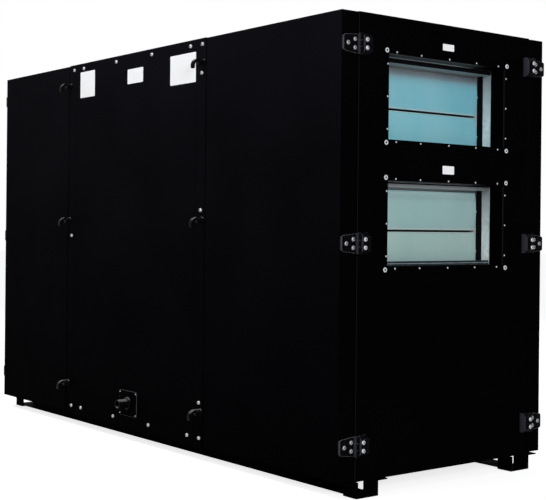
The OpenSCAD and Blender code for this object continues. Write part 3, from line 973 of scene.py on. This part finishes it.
class FitHinges(bpy.types.Operator):
    """Softens the cast hinges and sets their screws"""

    bl_idname = "air_handler.fit_hinges"
    bl_label = "Fit the hinges"

    round_w = 1.2 * MM
    leaf_t = 7 * MM
    outer_screw = 16 * MM
    inner_screw = 42 * MM
    leaf_pitch = 24 * MM
    block_screw = 21.5 * MM
    block_pitch = 23.5 * MM

    def execute(self, context):
        sizes = context.scene.air_handler.screws
        # The casting's flanks get a painted sheen; the rims are a painted highlight along the rounded
        # edges, paler still on their upward faces
        cast = plain_coat("hinge_casting", (0.0022, 0.0021, 0.0028), roughness=0.3, peel=600,
                          specular=0.008, flank_highlight=(0.040, 0.040, 0.052))
        rim = plain_coat("hinge_rim", (0.15, 0.15, 0.155), roughness=0.3, peel=600, specular=0.4,
                         top_highlight=(0.42, 0.42, 0.43))
        dull = plated_steel("leaf_screw_steel", (0.26, 0.26, 0.265))
        metal = plated_steel("block_screw_steel", (0.44, 0.46, 0.48))
        block_spots = []
        for name in frame["nodes"]:
            if name.endswith("hinge_blocks"):
                softened_copy(name, self.round_w, cast, rim, "hinge_black")
                block_spots += self.spots_on(name, self.block_places)
            elif name.endswith("hinge_leaves"):
                softened_copy(name, self.round_w, cast, rim, "hinge_black")
                spots = self.spots_on(name, self.leaf_places)
                set_fasteners(name.replace("leaves", "leaf_screws"), spots,
                              button_head(sizes.head_r, sizes.hinge_h), sizes.head_r, dull,
                              seed=3, body=BODY_OF[name])
        set_fasteners("hinge_block_screws", block_spots,
                      button_head(sizes.head_r, sizes.hinge_h), sizes.head_r, metal, seed=5)
        return {"FINISHED"}

    def spots_on(self, name, places):
        """The screws of each hinge part in a node, from where they sit on its outer face."""
        spots = []
        for low, high in islands(name):
            end = 1 if high.x > 0 else -1
            side = 1 if high.y > 0 else -1
            middle = (low.z + high.z) / 2
            x, offsets = places(low, high)
            spots += [(Vector((end * x, side * y, middle + dz)), Vector((end, 0, 0)))
                      for y, dz in offsets]
        return spots

    def block_places(self, low, high):
        """Two screws, one over the other, on the flat of a block."""
        y = min(abs(low.y), abs(high.y)) + self.block_screw
        half = self.block_pitch / 2
        return max(abs(low.x), abs(high.x)), ((y, half), (y, -half))

    def leaf_places(self, low, high):
        """One outer and two inner screws on a leaf."""
        outer_y = max(abs(low.y), abs(high.y))
        inner = outer_y - self.inner_screw
        half = self.leaf_pitch / 2
        return HALF_L + self.leaf_t, (
            (outer_y - self.outer_screw, 0), (inner, half), (inner, -half))


class FitLatches(bpy.types.Operator):
    """Softens the moulded lever latches and finishes their roses"""

    bl_idname = "air_handler.fit_latches"
    bl_label = "Fit the latches"

    round_w = 1.4 * MM

    def execute(self, context):
        # Painted highlight on the upward faces of the levers and roses
        moulded = plain_coat("latch_moulding", (0.0025, 0.0025, 0.003), roughness=0.3, peel=900,
                             specular=0.02, top_highlight=(0.17, 0.17, 0.175))
        for name in frame["nodes"]:
            if name == "latch_roses":
                wear(name, moulded)
            elif "_latch_" in name:
                softened_copy(name, self.round_w, moulded, moulded, "latch_plastic")
        return {"FINISHED"}


class SetScrews(bpy.types.Operator):
    """Sets the screws of the fixed panels and uprights, and those around the duct openings"""

    bl_idname = "air_handler.set_screws"
    bl_label = "Set the screws"

    # Distance back from the front, and for single screws the height over the casing's bottom
    uprights = (682 * MM, 1542 * MM)
    single_screws = ((685 * MM, 1217 * MM), (685 * MM, 771 * MM), (685 * MM, 146 * MM),
                     (1551 * MM, 680 * MM))
    # Rows and columns of small screws, from the middle of an opening
    row_out = 130 * MM
    row_places = (-219 * MM, -119 * MM, 0, 119 * MM, 219 * MM)
    column_out = 255 * MM
    column_places = (-94 * MM, 0, 94 * MM)

    def execute(self, context):
        sizes = context.scene.air_handler.screws
        metal = plated_steel("panel_screw_steel", (0.46, 0.465, 0.47))
        bright = plated_steel("insert_steel", (0.54, 0.57, 0.58))
        set_fasteners("panel_screws", self.panel_spots(sizes),
                      button_head(sizes.head_r, sizes.head_h), sizes.head_r, metal, seed=1)
        set_fasteners("opening_screws", self.opening_spots(), small_head(), sizes.small_r,
                      bright, seed=2)
        set_fasteners("flange_inserts", self.insert_spots(), insert_head(), sizes.insert_r,
                      bright, seed=4)
        return {"FINISHED"}

    def panel_spots(self, sizes):
        """Rows along the fixed panel's upper and lower edge, and the screws of the uprights."""
        first = HALF_L - SIDE_HIGH.x + sizes.first_column
        last = HALF_L - SIDE_LOW.x - sizes.last_column
        gaps = sizes.columns - 1
        columns = [first + (last - first) * i / gaps for i in range(sizes.columns)]
        rows = (TOP_Z - sizes.row_top, BASE_Z + sizes.row_low)
        places = [(back, z) for back in (*columns, *self.uprights) for z in rows]
        places += [(back, BASE_Z + up) for back, up in self.single_screws]
        return [(Vector((HALF_L - back, way * HALF_W, z)), Vector((0, way, 0)))
                for way in SIDES.values() for back, z in places]

    def opening_spots(self):
        """Small screws along the four edges of each duct opening."""
        offsets = [(y, z) for z in (-self.row_out, self.row_out) for y in self.row_places]
        offsets += [(y, z) for y in (-self.column_out, self.column_out)
                    for z in self.column_places]
        return [spot for duct in DUCTS.values() for spot in self.around(duct, offsets)]

    def insert_spots(self):
        """Threaded inserts at the four corners of each duct opening."""
        spots = []
        for duct in DUCTS.values():
            half_y, half_z = bolt_reach(duct)
            corners = [(y * half_y, z * half_z) for y in (-1, 1) for z in (-1, 1)]
            spots += self.around(duct, corners)
        return spots

    def around(self, duct, offsets):
        """Places on the end face, given from the middle of a duct opening."""
        x, y, z = duct["pos_m"]
        return [(Vector((x, y + dy, z + dz)), Vector(duct["axis"])) for dy, dz in offsets]


class FixPlates(bpy.types.Operator):
    """Fixes the bare white plates on the near side and over the front openings"""

    bl_idname = "air_handler.fix_plates"
    bl_label = "Fix the plates"

    # Distance back from the front, height over the casing's bottom, width and height
    side_plates = {
        "rear_side_plate": (1441 * MM, 1248.5 * MM, 108 * MM, 97 * MM),
        "middle_side_plate": (1099.5 * MM, 1247.5 * MM, 103 * MM, 52 * MM),
        "front_side_plate": (797 * MM, 1240 * MM, 152 * MM, 99 * MM),
    }
    # Distance from the middle, height over the casing's bottom, width and height
    front_plates = {
        "upper_duct_plate": (-6 * MM, 1263 * MM, 48 * MM, 20 * MM),
        "lower_duct_plate": (-1.5 * MM, 894.5 * MM, 49 * MM, 25 * MM),
    }

    def execute(self, context):
        settings = context.scene.air_handler
        lacquer = white_lacquer(settings.colours)
        along, across = Vector((1, 0, 0)), Vector((0, 1, 0))
        plates = [(name, Vector((HALF_L - back, -HALF_W, BASE_Z + up)), along, *size)
                  for name, (back, up, *size) in self.side_plates.items()]
        plates += [(name, Vector((HALF_L, y, BASE_Z + up)), across, *size)
                   for name, (y, up, *size) in self.front_plates.items()]
        for name, *place in plates:
            mesh = rounded_plate(name, *place, settings.plates)
            new_piece(name, mesh, "casing", "plate_white", lacquer)
        return {"FINISHED"}


class RunSeals(bpy.types.Operator):
    """Runs a bulb seal around each door opening"""

    bl_idname = "air_handler.run_seals"
    bl_label = "Run the door seals"

    upright_in = 9 * MM
    # Share of its radius by which a bulb's middle stands out from the carcass
    bulb_lift = 0.6

    def execute(self, context):
        sizes = context.scene.air_handler.seals
        rubber = plain_coat("seal_rubber", (0.005, 0.005, 0.0055), roughness=0.75, peel=500,
                            specular=0.12)
        outer_x = HALF_L - PANEL_T / 2
        bottom, top = BASE_Z + PANEL_T / 2, TOP_Z - PANEL_T / 2
        for end, way in ENDS.items():
            for side, out in SIDES.items():
                low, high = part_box(f"{side}_{end}_mullion")
                inner_x = max(abs(low.x), abs(high.x)) - self.upright_in
                y = out * (CARCASS_Y + self.bulb_lift * sizes.bulb_r)
                loop = ((inner_x, bottom), (outer_x, bottom), (outer_x, top), (inner_x, top))
                corners = [Vector((way * x, y, z)) for x, z in loop]
                run_bulb(f"{side}_{end}_door_seal", corners, sizes, rubber)
        return {"FINISHED"}


class FinishDrain(bpy.types.Operator):
    """Finishes the drain's plate and pipe, and sets the plate's screws"""

    bl_idname = "air_handler.finish_drain"
    bl_label = "Finish the drain"

    round_w = 0.9 * MM
    screw_in = 7 * MM

    def execute(self, context):
        settings = context.scene.air_handler
        # The plate's coat is darkened by painted shade like the casing's lower part; its rim is a
        # painted highlight along the rounded edges, and the pipe gets a painted highlight on its
        # upward faces
        coat = plain_coat("drain_plate_coat", shade(settings.colours.coat, 0.4), roughness=0.42,
                          peel=700, specular=0.001)
        rim = plain_coat("drain_plate_rim", (0.06, 0.06, 0.065), roughness=0.4, peel=700,
                         specular=0.1)
        plastic = plain_coat("drain_plastic", (0.0025, 0.0025, 0.003), roughness=0.3, peel=500,
                             specular=0.02, top_highlight=(0.17, 0.17, 0.175))
        metal = plated_steel("drain_screw_steel", (0.30, 0.305, 0.31))
        softened_copy("drain_plate", self.round_w, coat, rim, "casing_black")
        wear("drain_pipe", plastic)
        low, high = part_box("drain_plate")
        spots = [(Vector((x, low.y, z)), Vector((0, -1, 0)))
                 for x in (low.x + self.screw_in, high.x - self.screw_in)
                 for z in (low.z + self.screw_in, high.z - self.screw_in)]
        set_fasteners("drain_screws", spots, small_head(), settings.screws.small_r, metal, seed=6)
        return {"FINISHED"}


class SetStage(bpy.types.Operator):
    """Sets the floor, the background, the lamps and the camera"""

    bl_idname = "air_handler.set_stage"
    bl_label = "Set the stage"

    # Camera, fitted to the photograph's frame of 546 by 500 pixels
    image_w = 546
    sensor_w = 36.0
    focal_px = 1177.4
    horizon_up_px = 21.2
    camera_place = (3.538, -2.5996, 0.713)
    yaw_deg = 52.0
    roll_deg = 0.577
    # Background and floor
    white = (1, 1, 1, 1)
    world_tint = (0.93, 0.96, 1.0, 1)
    world_light = 0.30
    floor_size = 60.0
    floor_tone = (0.55, 0.55, 0.55, 1)
    floor_glow = 0.78
    # Place, target, width and height, and power of each lamp
    lamps = {
        "key": ((-0.2, -1.9, 3.4), (0, -HALF_W, 1.0), (2.2, 0.6), 66),
        "front": ((5.6, -2.3, 2.1), (HALF_L, 0, 0.9), (1.7, 1.7), 165),
        "back": ((-3.6, 3.4, 2.8), (-HALF_L / 2, 0, 0.8), (2.0, 2.0), 90),
    }

    def execute(self, context):
        scene = context.scene
        scene.view_settings.view_transform = "Standard"
        self.set_world(scene)
        self.set_floor()
        self.set_lamps()
        self.set_camera(scene)
        return {"FINISHED"}

    def mix_by_view(self, tree, output, lit, seen):
        """One shader for the light on the unit and another for what is seen directly."""
        values = {0: direct_view(tree), 1: lit.outputs[0], 2: seen.outputs[0]}
        mix = add_node(tree, "ShaderNodeMixShader", values)
        add_node(tree, output, {"Surface": mix.outputs[0]})

    def set_world(self, scene):
        """Even grey light, seen as white by the camera and in reflections."""
        scene.world = bpy.data.worlds.new("studio")
        tree = empty_tree(scene.world)
        light = add_node(tree, "ShaderNodeBackground",
                         {"Color": self.world_tint, "Strength": self.world_light})
        seen = add_node(tree, "ShaderNodeBackground", {"Color": self.white, "Strength": 1.0})
        self.mix_by_view(tree, "ShaderNodeOutputWorld", light, seen)

    def set_floor(self):
        """Pale floor that shows white where no shadow falls."""
        work = bmesh.new()
        bmesh.ops.create_grid(work, x_segments=2, y_segments=2, size=self.floor_size / 2)
        mesh = bpy.data.meshes.new("floor")
        work.to_mesh(mesh)
        work.free()
        floor = link_object("studio_floor", mesh)
        material = bpy.data.materials.new("studio_floor")
        tree = empty_tree(material)
        pale = add_node(tree, "ShaderNodeBsdfDiffuse", {"Color": self.floor_tone})
        glow = add_node(tree, "ShaderNodeEmission",
                        {"Color": self.white, "Strength": self.floor_glow})
        both = add_node(tree, "ShaderNodeAddShader", {0: pale.outputs[0], 1: glow.outputs[0]})
        self.mix_by_view(tree, "ShaderNodeOutputMaterial", pale, both)
        mesh.materials.append(material)

    def set_lamps(self):
        """A long soft lamp over the near side, one beside the camera for the front, and one
        behind."""
        for name, (place, target, (width, height), power) in self.lamps.items():
            data = bpy.data.lights.new(name, "AREA")
            data.shape = "RECTANGLE"
            data.size, data.size_y = width, height
            data.energy = power
            lamp = link_object(name + "_lamp", data)
            lamp.location = place
            aim = Vector(target) - Vector(place)
            lamp.rotation_euler = aim.to_track_quat("-Z", "Y").to_euler()

    def set_camera(self, scene):
        """A camera with the photograph's view, level but for its slight roll."""
        data = bpy.data.cameras.new("camera")
        data.sensor_width = self.sensor_w
        data.lens = self.focal_px / self.image_w * data.sensor_width
        data.shift_y = -self.horizon_up_px / self.image_w
        camera = link_object("camera", data)
        x, y, z = self.camera_place
        yaw = Matrix.Rotation(math.radians(self.yaw_deg), 4, "Z")
        level = yaw @ Matrix.Rotation(math.pi / 2, 4, "X")
        rolled = level @ Matrix.Rotation(math.radians(self.roll_deg), 4, "Z")
        camera.matrix_world = Matrix.Translation((x, y, z + BASE_Z)) @ rolled
        scene.camera = camera


class AirHandlerPanel(bpy.types.Panel):
    """Lists the steps that dress the unit, and its settings"""

    bl_idname = "VIEW3D_PT_air_handler"
    bl_label = "Air Handling Unit"
    bl_space_type = "VIEW_3D"
    bl_region_type = "UI"
    bl_category = "Air Handler"

    def draw(self, context):
        settings = context.scene.air_handler
        for step in STEPS:
            self.layout.operator(step.bl_idname)
        for group in (settings.screws, settings.plates, settings.seals, settings.colours):
            box = self.layout.box()
            for name in group.__annotations__:
                box.prop(group, name)


STEPS = (CoatCasing, FinishDampers, FitHinges, FitLatches, SetScrews, FixPlates, RunSeals,
         FinishDrain, SetStage)
CLASSES = (ScrewSizes, PlateSizes, SealSizes, Colours, UnitSettings, *STEPS, AirHandlerPanel)


def register():
    for cls in CLASSES:
        bpy.utils.register_class(cls)
    bpy.types.Scene.air_handler = bpy.props.PointerProperty(type=UnitSettings)


def unregister():
    del bpy.types.Scene.air_handler
    for cls in reversed(CLASSES):
        bpy.utils.unregister_class(cls)


def main():
    """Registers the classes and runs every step."""
    register()
    for step in STEPS:
        group, name = step.bl_idname.split(".")
        getattr(getattr(bpy.ops, group), name)()


if __name__ == "__main__":
    main()
